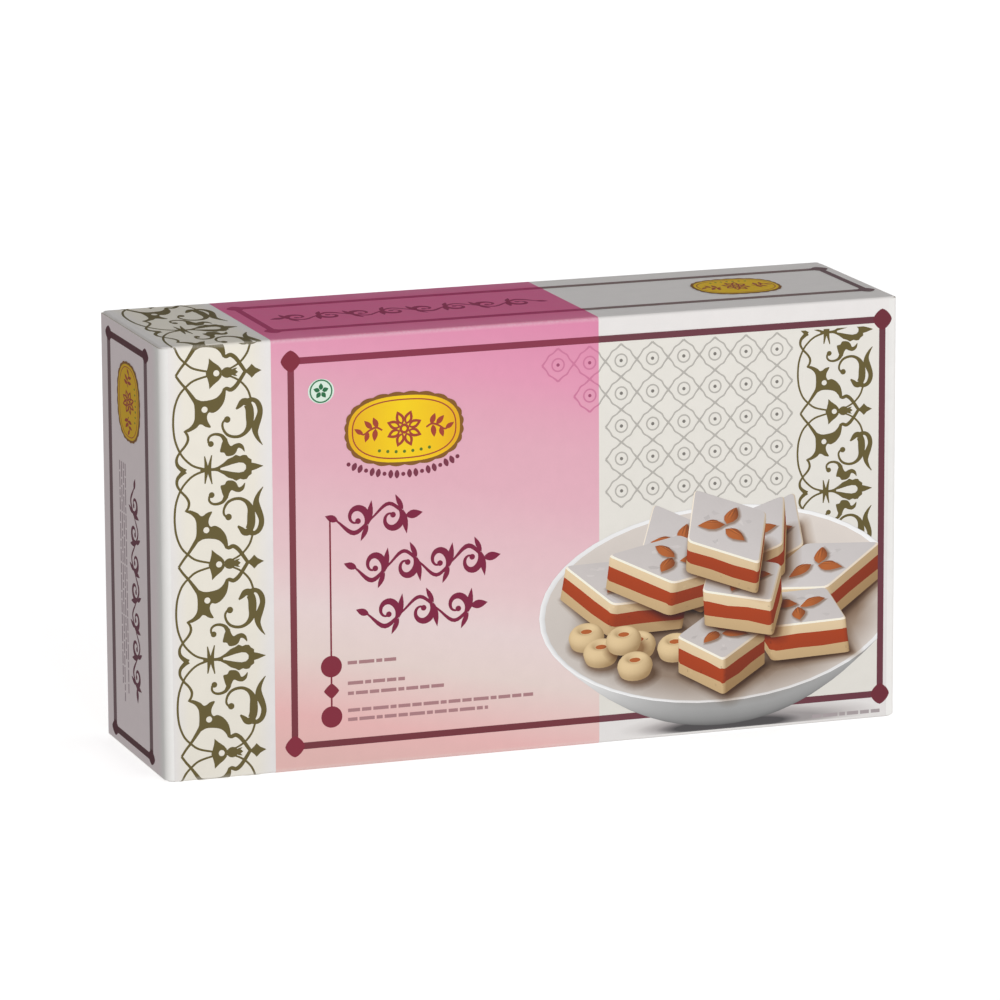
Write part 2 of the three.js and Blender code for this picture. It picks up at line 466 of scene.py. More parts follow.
# The pink ramp runs down, and a little to the left, from the place PINK_TOP on the top edge
PINK_TOP, PINK_LEAN = 42.9, 0.22
# Besides the print's pink-to-peach grade, the ramp's stops carry painted shade: the fall of the light
# down the front panel.
pink_ramp = [
    (-16.1, "#e78fb3"), (2.1, "#ec9fbc"), (12.0, "#ebaabf"), (21.4, "#ebb1c2"), (35.7, "#ebb6c4"),
    (50.0, "#ecc2ca"), (66.0, "#edcccf"), (78.0, "#edd8d7"), (91.4, "#ead6d0"), (100.0, "#ebc9c5"),
    (110.0, "#ecb9b7"), (121.4, "#e4b7b2")]
pink_shift = HEIGHT - PINK_LEAN * (LENGTH / 2 - PINK_TOP)
pink_ramp = [(at - pink_shift, shade) for at, shade in pink_ramp]
pink_ink_with_painted_shade = paper_finish("pink_to_peach_offset_field", pink_ramp, slope=(-PINK_LEAN, 0, -1))
# The magenta turns paler towards the front crease: a painted highlight of the crease.
magenta_ink_with_crease_highlight = paper_finish("magenta_offset_field", [
    (-30.5, "#ee7ba9"), (-24.0, "#ea74a4"), (-18.0, "#e4699b"), (20.0, "#e2679a"), (27.0, "#de749f")],
    slope=(0, 1, 0))
for name, low, high, ink in (("pink_field_front", LAP_START, HEIGHT, pink_ink_with_painted_shade),
                             ("magenta_field_top", HEIGHT, HEIGHT + DEPTH, magenta_ink_with_crease_highlight),
                             ("pink_field_back", HEIGHT + DEPTH, LAP_END, pink_ink_with_painted_shade)):
    add_film(name, trim(union([rectangle(FIELD_LEFT, FIELD_RIGHT, low, high)])), 0, ink)


# Frames: a maroon line with a rounded diamond knot at each corner, on every panel but the bottom.
# The transparent ink reads redder over the pink field than over the white board.


def diamond(x, y, half_wide, half_high, bulge=1.45):
    """Outline of a rounded diamond: the curve where the two half widths' powers of bulge sum to one."""
    turn = np.radians(np.arange(0, 360, 15))
    reach = (np.abs(np.cos(turn)) ** bulge + np.abs(np.sin(turn)) ** bulge) ** (-1 / bulge)
    return np.stack([x + half_wide * reach * np.cos(turn), y + half_high * reach * np.sin(turn)], -1)


def frame_outlines(left, right, low, high, upright, level, knot):
    """The four lines of a frame, by their centre lines and widths, and knots of two half sizes."""
    lines = [rectangle(x - upright / 2, x + upright / 2, low, high) for x in (left, right)]
    lines += [rectangle(left, right, y - level / 2, y + level / 2) for y in (low, high)]
    knots = [diamond(x, y, *knot) for x in (left, right) for y in (low, high)]
    return [("line", outline) for outline in lines] + [("knot", outline) for outline in knots]


FRAME_LINE, FRAME_KNOT = 1.95, (2.95, 3.15)
line_ink = paper_finish("maroon_line_ink", [(19.0, "#703843"), (106.0, "#6a323f")], slope=(1, 0, 0))
line_on_pink = paper_finish("maroon_line_ink_over_pink", [
    (5.0, "#722b35"), (12.0, "#78313b"), (60.0, "#803843"), (112.0, "#823644"), (120.0, "#8d2d49")],
    slope=(0, 0, 1))
knot_ink = paper_finish("maroon_knot_ink", [(-75.0, "#852036"), (107.0, "#6f2232")], slope=(1, 0, 0))
front_frame = partition(frame_outlines(
    FRAME_LEFT, FRAME_RIGHT, FRAME_LOW, FRAME_HIGH, FRAME_LINE, FRAME_LINE, FRAME_KNOT))
add_film("frame_line_front", trim(front_frame["line"], left=FIELD_RIGHT), 1, line_ink)
add_film("frame_line_front_on_pink", trim(front_frame["line"], right=FIELD_RIGHT), 1, line_on_pink)
add_film("frame_knots_front", trim(front_frame["knot"]), 1, knot_ink)


# Arabesque band: scrolls and palmettes in olive ink between a row of circles and a wavy line, on a
# cream strip that runs right round the carton. Half a repeat is drawn, then mirrored and repeated.

HALF_REPEAT = 27.56
STROKE_STEPS = 4
THINNEST = 0.08            # no pen stroke is drawn thinner
BAND_RIGHT = 218.0         # a band stops at the inner edge of the frame's right line


def curve(knots, steps=STROKE_STEPS):
    """Smooth curve through the rows of knots, columns and all: a Catmull-Rom cubic on each span."""
    knots = np.asarray(knots, float)
    padded = np.concatenate([[2 * knots[0] - knots[1]], knots, [2 * knots[-1] - knots[-2]]])
    a, b, c, d = (padded[i:len(padded) - 3 + i, None] for i in range(4))
    t = np.linspace(0, 1, steps, endpoint=False)[None, :, None]
    spans = b + 0.5 * t * (c - a + t * (2 * a - 5 * b + 4 * c - d + t * (3 * (b - c) + d - a)))
    return np.concatenate([spans.reshape(-1, knots.shape[1]), knots[-1:]])


def stroke(knots, steps=STROKE_STEPS):
    """Pen stroke along the smooth curve through rows of x, y and width, as triangle outlines."""
    x, y, width = curve(knots, steps).T
    slope = np.stack([np.gradient(x), np.gradient(y)], -1)
    slope /= np.linalg.norm(slope, axis=1, keepdims=True)
    side = slope[:, ::-1] * [-0.5, 0.5] * np.maximum(width, THINNEST)[:, None]
    middle = np.stack([x, y], -1)
    left, right = middle + side, middle - side
    ahead = np.stack([right[:-1], right[1:], left[1:]], 1)
    behind = np.stack([right[:-1], left[1:], left[:-1]], 1)
    return counter_clockwise(np.concatenate([ahead, behind]))


def counter_clockwise(outlines):
    """The outlines that have an area, each turned to run counter-clockwise."""
    turned = []
    for outline in outlines:
        x, y = np.asarray(outline, float).T
        area = x @ np.roll(y, -1) - y @ np.roll(x, -1)
        if abs(area) > 1e-4:
            turned.append(outline if area > 0 else outline[::-1])
    return turned


def oval(x, y, half_wide, half_high=None, count=16):
    """Outline of an ellipse, or of a circle when only one half size is given."""
    turn = np.linspace(0, 2 * np.pi, count, endpoint=False)
    return np.stack([x + half_wide * np.cos(turn), y + (half_high or half_wide) * np.sin(turn)], -1)


def petal(base, tip, width, count=6):
    """Outline of a leaf from base to tip: two arcs whose distance is the width times a sine."""
    base, tip = np.asarray(base, float), np.asarray(tip, float)
    along = np.linspace(0, 1, count + 1)
    across = np.array([base[1] - tip[1], tip[0] - base[0]]) / np.linalg.norm(tip - base) * width / 2
    bulge = np.sin(np.pi * along ** 0.85)[:, None] * across
    middle = base + (tip - base) * along[:, None]
    return np.concatenate([(middle - bulge), (middle + bulge)[-2:0:-1]])


def ring(x, y, radius, width, start=0.0, end=360.0, count=24):
    """Circular line as triangle outlines, from one angle in degrees to another."""
    turn = np.radians(np.linspace(start, end, count + 1))
    inner, outer = radius - width / 2, radius + width / 2
    knots = [np.stack([x + r * np.cos(turn), y + r * np.sin(turn)], -1) for r in (inner, outer)]
    triangles = np.concatenate([np.stack([knots[0][:-1], knots[1][:-1], knots[1][1:]], 1),
                                np.stack([knots[0][:-1], knots[1][1:], knots[0][1:]], 1)])
    return counter_clockwise(triangles)


def closed_curve(knots, steps=3):
    """Smooth closed outline through the knots: the same cubic, carried once round."""
    knots = np.asarray(knots, float)
    around = np.concatenate([knots[-2:], knots, knots[:2]])
    return curve(around, steps)[2 * steps:(len(knots) + 2) * steps]


def arabesque_half():
    """Half a repeat: x from the strip's left edge, y from the trefoil's line to the palmette's."""
    # Two ring lines, the stem between them, and the wavy line outside
    olive = stroke([
        (14.4, 0.5, 0.58), (9.9, 1.7, 0.62), (7.5, 3.4, 0.62), (5.5, 5.6, 0.62), (4.2, 8.8, 0.62),
        (3.7, 12.1, 0.62), (3.7, 15.5, 0.62), (4.2, 18.8, 0.62), (5.5, 22.1, 0.62),
        (7.2, 24.4, 0.62), (9.6, 26.3, 0.62), (13.2, 27.5, 0.68)])
    olive += stroke([
        (17.5, 0.4, 0.52), (20.5, 1.1, 0.52), (23.0, 2.4, 0.58), (24.7, 4.0, 0.62), (25.8, 5.7, 0.62),
        (26.5, 7.8, 0.62)])
    olive += stroke([
        (4.6, 0, 0.68), (6.0, 2.0, 0.72), (7.5, 3.8, 0.8), (9.2, 6.2, 1.1), (10.8, 8.6, 1.4)])
    olive += stroke([
        (6.9, 15.9, 0.68), (7.7, 17.1, 0.72), (7.9, 18.6, 0.78), (7.1, 20.2, 0.72), (5.5, 22.0, 0.68),
        (4.5, 23.8, 0.78), (4.7, 25.6, 1.0), (6.0, 27.0, 1.3), (7.0, 27.7, 1.6)])
    # Two-lobed leaf, and the knuckled line that leads back to the trefoil's tip
    olive.append(closed_curve([
        (9.3, 6.4), (11.8, 7.6), (14.3, 7.6), (16.5, 7.0), (17.9, 5.6), (18.5, 4.4), (19.2, 5.2),
        (19.0, 7.1), (18.4, 8.8), (17.0, 10.5), (15.4, 11.3), (14.2, 11.1), (13.6, 12.2), (13.8, 13.6),
        (14.7, 15.4), (13.2, 15.2), (12.2, 14.5), (11.3, 14.4), (10.4, 15.3), (8.2, 16.3), (6.7, 16.0),
        (8.5, 15.0), (9.7, 13.5), (10.0, 11.6), (9.9, 8.8)]))
    olive += stroke([
        (18.6, 5.1, 0.9), (19.4, 4.6, 1.1), (20.7, 5.0, 1.2), (22.0, 4.2, 1.2), (23.2, 2.7, 1.1),
        (25.0, 0, 1.0)])
    # Star tie and palmette, drawn down to their middle line
    olive += stroke([(12.7, 23.6, 0.3), (13.0, 25.6, 0.8), (13.3, 27.8, 1.4)])
    olive += stroke([(14.8, 23.4, 0.3), (14.3, 25.6, 0.8), (13.9, 27.8, 1.4)])
    olive += stroke([(11.4, 27.5, 0.7), (14.0, 27.6, 0.9), (17.3, 27.6, 1.1)])
    limb = [
        (14.8, 27.3), (16.5, 26.9), (18.1, 26.0), (19.5, 24.9), (20.9, 24.4), (21.9, 23.8),
        (23.1, 24.3), (24.0, 24.0), (25.0, 24.1), (25.6, 24.9), (26.5, 25.5), (26.5, 26.4),
        (27.7, 26.7), (29.9, 27.5), (29.9, 28.0), (24.9, 28.0), (24.8, 27.0), (24.1, 26.3),
        (22.8, 26.1), (21.0, 26.4), (19.0, 26.9), (16.8, 27.4)]
    olive.append(np.array(limb))
    # Side curl: a ball, its stem, a round body and a hooked leaf
    olive.append(oval(14.6, 20.2, 0.85))
    olive += stroke([
        (13.9, 19.9, 0.6), (13.9, 18.6, 0.65), (14.8, 17.7, 0.7), (16.3, 17.5, 0.8),
        (17.9, 18.1, 1.0), (18.9, 19.6, 1.5)])
    olive.append(closed_curve([
        (18.1, 19.6), (17.5, 21.4), (17.3, 22.7), (18.5, 23.0), (19.2, 24.0), (21.0, 23.9),
        (22.0, 23.1), (22.6, 21.9), (23.6, 22.2), (24.5, 23.1), (24.2, 21.4), (23.0, 20.5),
        (21.6, 20.7), (20.5, 21.2), (19.8, 20.3), (19.2, 18.9)]))
    # Volute: a ball, a thick inner limb that ends in a hook, and an outer limb with a tail
    olive.append(oval(19.5, 13.5, 0.95))
    olive += stroke([
        (18.9, 13.4, 0.6), (18.1, 14.6, 0.65), (18.3, 16.2, 0.7), (19.3, 17.7, 0.8),
        (20.9, 18.5, 0.85), (22.8, 18.6, 0.9), (24.4, 17.9, 1.1), (25.5, 16.7, 1.5),
        (26.1, 15.2, 2.0), (26.2, 13.2, 2.4), (26.1, 11.0, 2.4), (25.6, 9.6, 2.3)])
    olive += stroke([
        (26.3, 9.6, 1.8), (25.2, 8.8, 2.1), (24.1, 8.8, 1.9), (23.2, 9.7, 1.4), (22.2, 10.7, 0.5)])
    olive += stroke([
        (25.0, 8.6, 1.0), (26.6, 8.2, 1.2), (28.1, 8.8, 1.4), (29.0, 10.3, 1.6), (29.2, 12.1, 1.6),
        (28.6, 14.1, 1.9), (27.8, 16.0, 2.2), (27.8, 17.9, 1.5), (28.6, 19.8, 0.9), (29.8, 21.5, 0.2)])
    # Trefoil: horn, bud and diamond finial
    olive.append(np.array([
        (13.4, -1.0), (18.0, -1.0), (18.0, 1.1), (17.2, 2.1), (15.6, 3.3), (14.4, 4.4), (14.3, 3.0),
        (13.9, 1.4), (13.4, 0.0)]))
    olive.append(oval(19.7, 0.0, 1.7, 1.55))
    olive += [petal((20.4, 0.0), (22.9, 0.0), 1.7), petal((20.6, 0.2), (22.7, 1.2), 0.7)]
    olive.append(np.array([
        (24.4, -0.5), (25.4, -0.5), (26.2, -1.2), (26.9, -2.0), (28.0, -0.9), (29.8, 0.0),
        (28.0, 0.9), (26.9, 2.0), (26.2, 1.2), (25.4, 0.5), (24.4, 0.5)]))
    eyes = [oval(12.9, 10.2, 0.9), oval(16.5, 0.0, 0.9)]
    shapes = [("olive", outline) for outline in counter_clockwise(olive)]
    return partition(shapes + [(None, eye) for eye in eyes])["olive"]


def repeated(half, first_line, low, high, across=1.0, along=1.0, shift=0.0):
    """Mirrored half repeats up a band from low to high, scaled, with a trefoil line at first_line."""
    points, triangles = half
    step = HALF_REPEAT * along
    sheets, count = [], 0
    for k in range(int(np.floor((low - first_line) / step)), int(np.ceil((high - first_line) / step))):
        y = points[:, 1] if k % 2 == 0 else HALF_REPEAT - points[:, 1]
        spots = np.stack([points[:, 0] * across + shift, first_line + k * step + y * along], -1)
        sheets.append((spots, (triangles if k % 2 == 0 else triangles[:, ::-1]) + count))
        count += len(points)
    drawing = weld(np.concatenate([s for s, _ in sheets]), np.concatenate([t for _, t in sheets]))
    return trim(drawing, right=BAND_RIGHT, low=low, high=high)


# The olive ink takes a little of the painted shade towards the foot as well
olive_ink = paper_finish("olive_offset_ink", "#675a2b", mottle=1.8, foot=0.05)
half = trim(arabesque_half(), left=-5, right=40, low=0.0, high=HALF_REPEAT, grid=False)
FRONT_TREFOIL = 117.63     # height of the front strip's uppermost trefoil line
# The top panel's print is drawn long across the depth, as its frame and scrolls are
TOP_STRETCH, TOP_PALMETTE = 1.5, 23.0
top_trefoil = HEIGHT + TOP_PALMETTE - TOP_STRETCH * HALF_REPEAT
for name, trefoil, low, high, along in (
        ("arabesque_under", FRONT_TREFOIL, LAP_START, 0.0, 1.0),
        ("arabesque_front", FRONT_TREFOIL, 0.0, HEIGHT, 1.0),
        ("arabesque_top", top_trefoil, HEIGHT, HEIGHT + DEPTH, TOP_STRETCH),
        ("arabesque_back", BACK_FOOT - FRONT_TREFOIL, HEIGHT + DEPTH, LAP_END, 1.0)):
    add_film(name, repeated(half, trefoil, low, high, along=along), 1, olive_ink)
# A smaller band stands inside the frame at the right end of the front, and behind it on the back
RIGHT_TREFOIL, RIGHT_LOW, RIGHT_HIGH = 93.2, 44.0, 117.8
right_place = {"across": 0.893, "along": 0.857, "shift": 189.3}
right_band = repeated(half, RIGHT_TREFOIL, RIGHT_LOW, RIGHT_HIGH, **right_place)
add_film("arabesque_right", right_band, 1, olive_ink)


# Lattice: rows of cusped cells, each with a circle and a dot, in pale grey ink at the upper right of
# the front panel. Three cells run on over the pink field, where the grey ink reads as a darker pink.

CELL_WIDE = 9.63
CELL_ROWS = (112.9, 103.3, 93.7, 84.1, 74.6)          # heights of the rows of cells
CELL_STARTS, CELL_COUNTS = (118.6, 128.25, 137.9, 137.9, 137.9), (8, 7, 6, 6, 6)


def placed(outlines, x, y, turn=0.0, wide=1.0, high=1.0):
    """The outlines scaled in x and y, then turned by degrees, then moved to a place."""
    c, s = np.cos(np.radians(turn)), np.sin(np.radians(turn))
    axes = np.array([[c, s], [-s, c]])
    moved = [np.asarray(outline, float) * [wide, high] @ axes + [x, y] for outline in outlines]
    return counter_clockwise(moved)


def lattice_cell():
    """One cell about the origin: four turns of a quarter of its cusped outline, a circle, a dot."""
    quarter = [
        (4.83, 0.0, 0.62), (3.5, 1.5, 0.42), (2.8, 2.75, 0.48), (1.5, 3.6, 0.42), (0.0, 4.83, 0.62)]
    outlines = []
    for turn in (0, 90, 180, 270):
        outlines += placed(stroke(quarter, 3), 0, 0, turn)
    return outlines + ring(0, 0, 1.85, 0.44, count=20) + [oval(0, 0, 0.52, count=8)]


def lattice(rows):
    """Rows of cells as (height, first u, number of cells), with the dots as an ink of their own."""
    shapes = []
    for height, first, number in rows:
        for k in range(number):
            cell = placed(lattice_cell(), first + k * CELL_WIDE, height)
            shapes += [("line", outline) for outline in cell[:-1]] + [("dot", cell[-1])]
    return partition(shapes)


grey_ink = paper_finish("pale_grey_lattice_ink", "#bcb8b1")
dot_ink = paper_finish("grey_lattice_dot_ink", "#7f7b75")
grey_on_pink = paper_finish("lattice_ink_over_pink", "#d67ea2")
dot_on_pink = paper_finish("lattice_dot_over_pink", "#a84f74")
cells = lattice(zip(CELL_ROWS, CELL_STARTS, CELL_COUNTS))
add_film("lattice_front", trim(cells["line"], left=FIELD_RIGHT), 1, grey_ink)
add_film("lattice_dots_front", trim(cells["dot"], left=FIELD_RIGHT), 1, dot_ink)
add_film("lattice_front_on_pink", trim(cells["line"], right=FIELD_RIGHT), 1, grey_on_pink)
add_film("lattice_dots_on_pink", trim(cells["dot"], right=FIELD_RIGHT), 1, dot_on_pink)


# Leaf mark: a small pale green plate near the frame's upper left corner, with a green ring and five
# leaves round its middle.

MARK_PLACE = [47.3, 110.3]
mark = [("plate", oval(0, 0, 3.9, 3.6, 28))]
mark += [("green", o) for o in ring(0, 0, 3.2, 0.45, count=28)]
for angle in np.radians((18, 90, 162, 234, 306)):
    outwards = np.array([np.cos(angle), np.sin(angle)])
    mark.append(("leaf", petal(0.35 * outwards, 2.35 * outwards, 1.35)))
mark = partition([(ink, outline + MARK_PLACE) for ink, outline in mark])
for part, finish in (("plate", paper_finish("pale_green_plate_ink", "#e2f4e6")),
                     ("green", paper_finish("green_ring_ink", "#387b54")),
                     ("leaf", paper_finish("deep_green_leaf_ink", "#1d6e42"))):
    add_film("leaf_mark_" + part, trim(mark[part]), 2, finish)


# Medallion: a scalloped oval of golden yellow with a dark gold edge and a red-brown rosette between
# two sprigs. The same block is on every panel but the bottom, squeezed where space is short, and on
# the front an arc of beads runs under it.


def medallion(half_wide=18.0, half_high=10.9):
    """Shapes of the medallion about the origin.

    Its outline is a superellipse of power 2.5, whose half sizes grow and shrink with the size of a
    sine for the scallops.
    """
    turn = np.linspace(0, 2 * np.pi, 193)
    full = (np.abs(np.cos(turn)) ** 2.5 + np.abs(np.sin(turn)) ** 2.5) ** (-1 / 2.5)
    along, across = full * np.cos(turn), full * np.sin(turn)
    lobes = 0.42 * np.abs(np.sin(12 * turn))
    edge = np.stack([(half_wide - 0.5 + lobes) * along, (half_high - 0.5 + lobes) * across], -1)[:-1]
    gold = np.stack([(half_wide - 1.25) * along, (half_high - 1.25) * across], -1)[:-1:3]
    line = [(half_wide - 2.5) * along, (half_high - 2.4) * across, np.full(len(turn), 0.38)]
    shapes = [("edge", edge), ("gold", gold)]
    shapes += [("red", outline) for outline in stroke(np.stack(line, -1)[::3], 1)]
    for k in range(8):
        outwards = np.array([np.cos(np.radians(45 * k + 22.5)), np.sin(np.radians(45 * k + 22.5))])
        shapes.append(("red", petal(1.3 * outwards, 5.6 * outwards, 2.6)))
        shapes.append(("gold", petal(2.0 * outwards, 4.4 * outwards, 1.0)))
    shapes += [("red", oval(0, 0, 1.5, count=16)), ("gold", oval(0, 0, 0.7, count=12))]
    for side in (1, -1):
        sprig = stroke([
            (6.6, 0, 0.5), (8.4, 0.9, 0.6), (10.4, 0.2, 0.55), (12.2, -0.9, 0.5), (13.6, -0.2, 0.3)])
        sprig += [petal((8.0, 0.8), (9.3, 3.9), 1.7), petal((9.6, 0.6), (12.0, 3.1), 1.6),
                  petal((12.3, -0.8), (15.0, 0.9), 1.4), petal((8.6, 0.6), (9.0, -3.1), 1.7),
                  petal((10.8, -0.2), (11.7, -3.2), 1.5)]
        shapes += [("red", outline) for outline in placed(sprig, 0, 0, wide=side)]
    for x in np.arange(-7.5, 8, 2.5):
        shapes.append(("green", oval(x, -6.6 + 0.012 * x * x, 0.5, count=8)))
    return shapes


def placed_shapes(shapes, x, y, turn=0.0, wide=1.0, high=1.0):
    """The shapes with their inks kept and their outlines placed."""
    return [(ink, placed([outline], x, y, turn, wide, high)[0]) for ink, outline in shapes]


gold_ramp = [
    (-59.0, "#ecae00"), (-50.0, "#f8c800"), (-40.0, "#ffd800"), (-30.0, "#fac800"), (-21.0, "#eaa800")]
medallion_inks = {
    "edge": paper_finish("dark_gold_ink", "#8a5a18"),
    "gold": paper_finish("golden_yellow_ink", gold_ramp, slope=(1, 0, 0)),
    "red": paper_finish("red_brown_ink", "#a8402a"),
    "green": paper_finish("green_dot_ink", "#5d7a1c"),
}
side_gold_ink = paper_finish("golden_yellow_ink_on_sides", [
    (0.0, "#e2b400"), (125.0, "#f0c600"), (127.0, "#f0c600")], slope=(0, 0, 1), interpolation="CONSTANT")


def add_medallion(panel, shapes, fold=printed_point, grid=True):
    """The films of one medallion, a piece for each ink."""
    for ink, flat in partition(shapes).items():
        finish = side_gold_ink if ink == "gold" and panel != "front" else medallion_inks[ink]
        add_film(f"medallion_{ink}_{panel}", trim(flat, grid=grid), 3, finish, fold)


add_medallion("front", placed_shapes(medallion(), 72.0, 97.75))
beads = []
for k, angle in enumerate(np.radians(np.linspace(-27, 27, 19))):
    x, y = 36.0 * np.sin(angle), 36.0 * (1 - np.cos(angle))
    bead = diamond(0, 0, 0.75, 1.25, 1.6) if k % 3 else oval(0, 0, 0.62, count=10)
    beads += placed([bead], 71.6 + x, 84.6 + y, np.degrees(angle))
bead_ink = paper_finish("plum_bead_ink", "#7c3147")
add_film("bead_arc_front", trim(union(beads)), 1, bead_ink)


# Vine scrolls: three stepped rows of bold maroon scrollwork across the pink field. In each a stem
# waves, a coil that ends in a ball fills every wave, and a leaf closes either end.


def vine(length, waves, height=10.0):
    """A running scroll from the origin along x: a waving stem, and in each wave a coil with a ball."""
    pitch, outlines = length / waves, []
    nodes = [(0.0, 0.0, 0.5)]
    turn = np.radians(np.linspace(-80, 300, 11))
    radius = np.linspace(0.36, 0.10, 11) * height
    width = height * np.array([0.05, 0.08, 0.13, 0.17, 0.16, 0.13, 0.10, 0.08, 0.06, 0.05, 0.05])
    for k in range(waves):
        side = 1 - 2 * (k % 2)
        thick = 0.12 * height * (0.8 if k % 3 else 1.0)
        nodes += [((k + 0.5) * pitch, -side * 0.34 * height, thick), ((k + 1) * pitch, 0.0, 0.6)]
        coil = np.stack([(k + 0.56) * pitch + radius * np.cos(turn) * min(1.0, pitch / height),
                         side * (0.04 * height + radius * np.sin(turn)), width], -1)
        outlines += stroke(coil, 3)
        outlines.append(oval(*coil[-1, :2], 0.075 * height, count=10))
        root = np.array([(k + 1) * pitch - 0.1 * pitch, -side * 0.16 * height])
        outlines.append(petal(root, root + [0.10 * pitch, side * 0.62 * height], 0.16 * height))
        outlines.append(petal(root, root + [-0.22 * pitch, -side * 0.40 * height], 0.13 * height))
    outlines += stroke(nodes, 6)
    outlines.append(petal((length - 0.4, 0), (length + 0.42 * height, 0.06 * height), 0.22 * height))
    outlines.append(petal((0.4, 0), (-0.30 * height, 0.14 * height), 0.18 * height))
    return counter_clockwise(outlines)


title_ink = paper_finish("maroon_title_ink", "#80123c")
rows = (placed(vine(21.0, 2, 11.5), 51.5, 72.4) + placed(vine(39.0, 4, 11.5), 57.0, 58.2)
        + placed(vine(31.5, 3, 11.5), 60.5, 44.4))
add_film("vine_scrolls_front", trim(union(rows)), 1, title_ink)


# Plumb line: a thin line from the first scroll down to two discs and a diamond, with fine broken
# rules in muted ink beside them and a grey one at the foot of the panel.


def rules(lines, thick=1.0):
    """Broken rules as (height, left, right): dashes of four lengths in turn with small gaps between."""
    outlines = []
    for row, (y, left, right) in enumerate(lines):
        k, x = row, left
        while x < right - 0.8:
            dash = (2.8, 4.6, 1.8, 3.6)[k % 4]
            end = min(x + dash, right)
            outlines.append(rectangle(x, end, y - thick / 2, y + thick / 2))
            k, x = k + 1, end + 0.6
    return outlines


plumb = [rectangle(49.25, 49.75, 12.2, 72.7), diamond(49.5, 22.75, 2.3, 2.3, 1.15)]
plumb += [oval(49.5, 29.95, 3.15, count=32), oval(49.5, 15.1, 3.15, count=32)]
add_film("plumb_line_front", trim(union(plumb)), 1, knot_ink)
print_lines = rules([
    (30.6, 54.4, 70.0), (24.6, 54.4, 71.6), (21.6, 54.4, 83.4), (16.6, 54.4, 110.6),
    (13.9, 54.4, 96.8)])
small_ink = paper_finish("muted_small_rule_ink", "#ad7f82")
add_film("small_rules_front", trim(union(print_lines)), 1, small_ink)
foot_rule_ink = paper_finish("grey_foot_rule_ink", "#aba0a2")
foot_rule = rules([(2.2, 197.6, 219.0)], 1.05)
add_film("small_rule_foot_front", trim(union(foot_rule)), 1, foot_rule_ink)


# Top panel: the same frame, a long scroll row over the magenta and a medallion over the white, all
# turned to be read from behind. The block is drawn long across the depth, as the photograph shows it.

top_frame = partition(frame_outlines(37.4, 219.0, HEIGHT + 12.7, HEIGHT + 49.3, 2.0, 3.0, (2.7, 3.2)))
dark_line = paper_finish("maroon_line_ink_on_top", [
    (-112.0, "#b22464"), (19.0, "#856f6d"), (103.0, "#765d61"), (112.0, "#765d61")],
    slope=(1, 0, 0), interpolation="CONSTANT")
for part in ("line", "knot"):
    add_film(f"frame_{part}_top", trim(top_frame[part]), 1, dark_line)
row = placed(vine(77.0, 8), 123.0, HEIGHT + 30.5, turn=180.0, high=1.15)
top_title_ink = paper_finish("plum_title_ink_on_top", "#990f50")
add_film("vine_scroll_top", trim(union(row)), 1, top_title_ink)
add_medallion("top", placed_shapes(medallion(), 185.5, HEIGHT + 31.4, 180.0, 0.73, 1.14))


# End panel print: a tall frame, the medallion turned on its side, a scroll row that reads downwards
# and grey rules beside it, the same on both ends.


def left_end_point(across, z, lift):
    """Point on the left end panel, from the distance to its back edge and the height."""
    return np.stack(np.broadcast_arrays(-LENGTH / 2 - lift, DEPTH / 2 - across, z), -1)


def right_end_point(across, z, lift):
    """Point on the right end panel, from the distance to its front edge and the height."""
    return np.stack(np.broadcast_arrays(LENGTH / 2 + lift, across - DEPTH / 2, z), -1)


end_line = paper_finish("maroon_line_ink_on_end", [
    (0.0, "#562a31"), (6.0, "#765c60"), (119.0, "#582931"), (126.0, "#582931")],
    slope=(0, 0, 1), interpolation="CONSTANT")
end_knot = paper_finish("maroon_knot_ink_on_end", "#541a28")
end_rule = paper_finish("grey_rule_ink", "#a9969c")
end_frame = partition(frame_outlines(9.0, 46.4, 4.0, 121.0, 3.2, 2.0, (3.3, 2.2)))
end_title_ink = paper_finish("dark_plum_title_ink_on_end", "#6b3344")
end_row = union(placed(vine(59.0, 7), 32.6, 80.0, turn=-90.0))
end_rules = rules([(-2.8, 0.0, 66.0), (-0.9, 0.0, 71.0), (1.0, 0.0, 58.0), (2.9, 0.0, 69.0)], 0.8)
end_rules = union(placed(end_rules, 21.0, 85.5, turn=-90.0))
for side, fold in (("left", left_end_point), ("right", right_end_point)):
    add_film(f"frame_line_{side}_end", end_frame["line"], 0, end_line, fold)
    add_film(f"frame_knots_{side}_end", end_frame["knot"], 0, end_knot, fold)
    add_film(f"vine_scroll_{side}_end", end_row, 0, end_title_ink, fold)
    add_film(f"small_rules_{side}_end", end_rules, 0, end_rule, fold)
    shapes = placed_shapes(medallion(), 28.8, 104.4, 90.0, 0.65, 1.08)
    add_medallion(f"{side}_end", shapes, fold, grid=False)


# Back panel: read upright from behind, so its print is turned against the front's. The medallion,
# scrolls and broken rules stand on the pink, and a lattice and a ruled table beside them.


def on_back(outlines, u, z):
    """Outlines turned half round and placed by the distance u and the height z on the back panel."""
    return placed(outlines, u, BACK_FOOT - z, turn=180.0)


